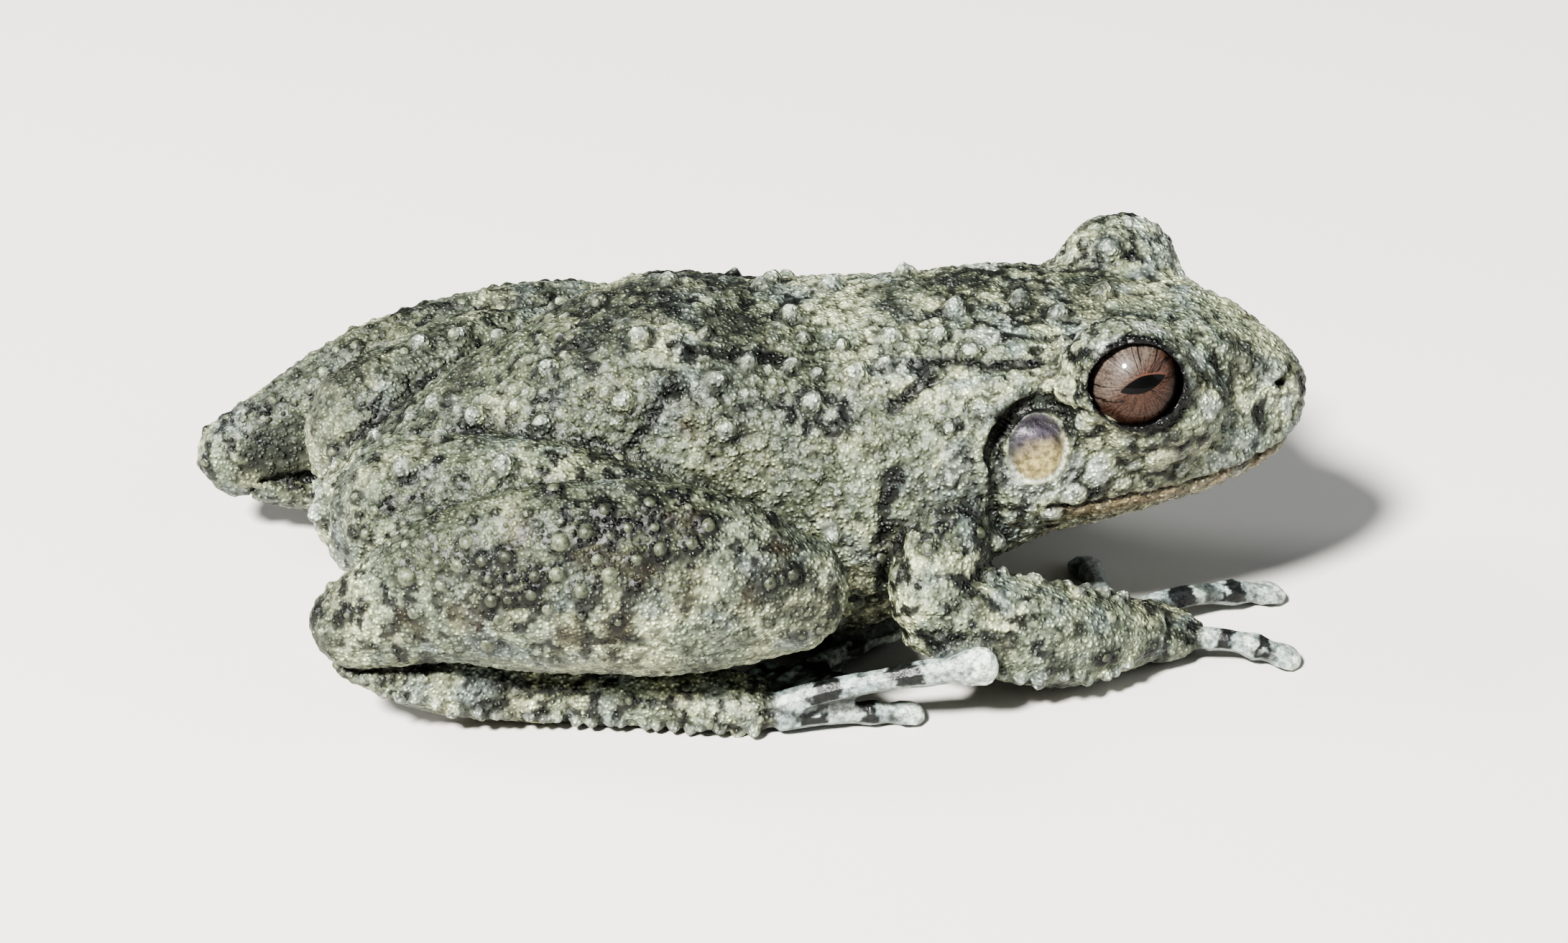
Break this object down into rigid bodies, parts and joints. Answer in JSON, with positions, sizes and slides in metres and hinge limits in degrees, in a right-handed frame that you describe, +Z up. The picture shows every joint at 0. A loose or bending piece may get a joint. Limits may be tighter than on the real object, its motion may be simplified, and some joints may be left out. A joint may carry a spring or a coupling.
{
  "type": "snouted tree frog",
  "caption": "Small snouted tree frog at rest, legs folded, belly down, head turned a little to its right; a still life-size model.",
  "frame": {"origin": "centre of the model's bounding box, at the level that the frog rests on", "axes": "+X towards the snout, +Y towards the frog's left side, +Z up"},
  "size_m": [0.0454, 0.0274, 0.0154],
  "materials": {
    "back_skin": "moist warty skin",
    "belly_skin": "moist pale skin",
    "limb_skin": "moist warty skin",
    "digit_skin": "moist smooth skin",
    "ear_drum": "thin taut skin",
    "eye": "wet and glossy"
  },
  "bodies": {
    "root": {"torso": "back_skin", "head": "back_skin", "lower_jaw": "belly_skin", "eye_l": "eye", "eye_r": "eye", "tympanum_l": "ear_drum", "tympanum_r": "ear_drum", "thigh_l": "limb_skin", "thigh_r": "limb_skin", "shank_l": "limb_skin", "shank_r": "limb_skin", "tarsus_l": "limb_skin", "tarsus_r": "limb_skin", "foot_l": "limb_skin", "foot_r": "limb_skin", "toe_1_l": "digit_skin", "toe_2_l": "digit_skin", "toe_3_l": "digit_skin", "toe_4_l": "digit_skin", "toe_5_l": "digit_skin", "toe_1_r": "digit_skin", "toe_2_r": "digit_skin", "toe_3_r": "digit_skin", "toe_4_r": "digit_skin", "toe_5_r": "digit_skin", "upper_arm_l": "limb_skin", "upper_arm_r": "limb_skin", "forearm_l": "limb_skin", "forearm_r": "limb_skin", "hand_l": "limb_skin", "hand_r": "limb_skin", "finger_1_l": "digit_skin", "finger_2_l": "digit_skin", "finger_3_l": "digit_skin", "finger_4_l": "digit_skin", "finger_1_r": "digit_skin", "finger_2_r": "digit_skin", "finger_3_r": "digit_skin", "finger_4_r": "digit_skin"}
  },
  "joints": []
}
